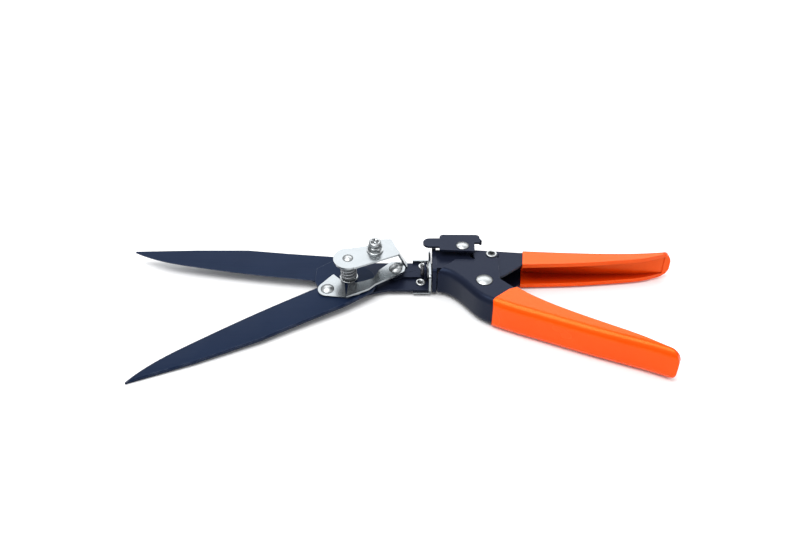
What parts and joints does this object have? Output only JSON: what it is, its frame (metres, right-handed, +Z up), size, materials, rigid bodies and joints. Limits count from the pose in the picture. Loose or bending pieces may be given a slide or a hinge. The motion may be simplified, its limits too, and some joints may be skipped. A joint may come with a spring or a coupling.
{
  "type": "grass shears",
  "caption": "One-hand grass shears: two channel handles with dipped grips, a swivelling head and two horizontal scissor blades closed by squeezing the front handle.",
  "frame": {"origin": "centre of the bounding box at rest, on the plane that the tool lies on", "axes": "+X from the blades towards the handle ends along the head's swivel axis, +Y from the front, squeezed handle towards the rear, fixed handle, +Z up from the plane of the handles"},
  "size_m": [0.3414, 0.1104, 0.0334],
  "materials": {
    "frame_paint": "satin blue-black stoved paint",
    "blade_coating": "satin navy non-stick coating with ground edges",
    "grip_vinyl": "glossy dipped vinyl, soft",
    "bright_plate": "bright nickel-chrome plate",
    "bright_rivet": "polished rivet",
    "zinc_hardware": "bright zinc plate",
    "spring_steel": "bright drawn spring wire",
    "bare_steel": "oiled turned steel"
  },
  "bodies": {
    "fixed_handle": {"fixed_handle_frame": "frame_paint", "fixed_grip": "grip_vinyl", "handle_pivot_rivet": "bright_rivet", "collar_plate": "frame_paint", "swivel_bush": "bare_steel", "swivel_lock_ring": "bright_rivet", "return_spring": "spring_steel", "latch_rivet": "bright_rivet", "latch_washer": "frame_paint"},
    "moving_handle": {"moving_handle_frame": "frame_paint", "moving_grip": "grip_vinyl", "drive_pin": "bright_rivet"},
    "push_rod": {"push_rod": "bare_steel"},
    "latch": {"latch": "frame_paint"},
    "head": {"swivel_plate": "bright_plate", "head_carrier": "frame_paint", "neck_rivets": "bright_rivet", "fixed_blade": "blade_coating", "fixed_blade_rivets": "bright_rivet", "pressure_bridge": "bright_plate", "bridge_rivet": "bright_rivet", "blade_pivot_pin": "bright_rivet", "spring_washer": "zinc_hardware", "tension_spring": "spring_steel", "bolt_washer": "zinc_hardware", "lock_nut": "zinc_hardware", "adjusting_bolt": "zinc_hardware"},
    "crosshead": {"crosshead": "frame_paint", "link_rivet": "bright_rivet"},
    "drive_link": {"drive_link": "bright_plate", "crank_pin": "bright_rivet"},
    "moving_blade": {"moving_blade": "blade_coating", "blade_foot_plate": "bright_plate", "foot_rivet": "bright_rivet"}
  },
  "joints": [
    {"name": "handle_squeeze", "type": "hinge", "parent": "fixed_handle", "child": "moving_handle", "pos_m": [0.05092, 0.0115, 0.0109], "axis": [0, 0, 1], "range_deg": [0, 22.5], "stiffness_Nm_per_rad": 3, "springref_deg": -17.19},
    {"name": "rod_push", "type": "slide", "parent": "fixed_handle", "child": "push_rod", "axis": [-1, 0, 0], "range_m": [0, 0.0102], "deforming": ["return_spring"]},
    {"name": "head_swivel", "type": "hinge", "parent": "fixed_handle", "child": "head", "pos_m": [0.01962, 0.033, 0.0109], "axis": [1, 0, 0], "range_deg": [-85, 70]},
    {"name": "crosshead_slide", "type": "slide", "parent": "head", "child": "crosshead", "axis": [-1, 0, 0], "range_m": [0, 0.0102]},
    {"name": "link_turn", "type": "hinge", "parent": "crosshead", "child": "drive_link", "pos_m": [-0.00268, 0.03294, 0.0116], "axis": [0, -0.0819, 0.9966], "range_deg": [0, 2]},
    {"name": "blade_close", "type": "hinge", "parent": "head", "child": "moving_blade", "pos_m": [-0.03188, 0.02821, 0.0081], "axis": [0, 0.0819, -0.9966], "range_deg": [0, 42.2]},
    {"name": "latch_turn", "type": "hinge", "parent": "fixed_handle", "child": "latch", "pos_m": [0.03912, 0.0406, 0.0238], "axis": [0, 0, -1], "range_deg": [0, 45]}
  ],
  "couplings": [
    {"joint": "rod_push", "follows": "handle_squeeze", "m_per_rad": 0.025592},
    {"joint": "crosshead_slide", "follows": "handle_squeeze", "m_per_rad": 0.025592},
    {"joint": "link_turn", "follows": "handle_squeeze", "ratio": 0.08},
    {"joint": "blade_close", "follows": "handle_squeeze", "ratio": 1.8667}
  ]
}
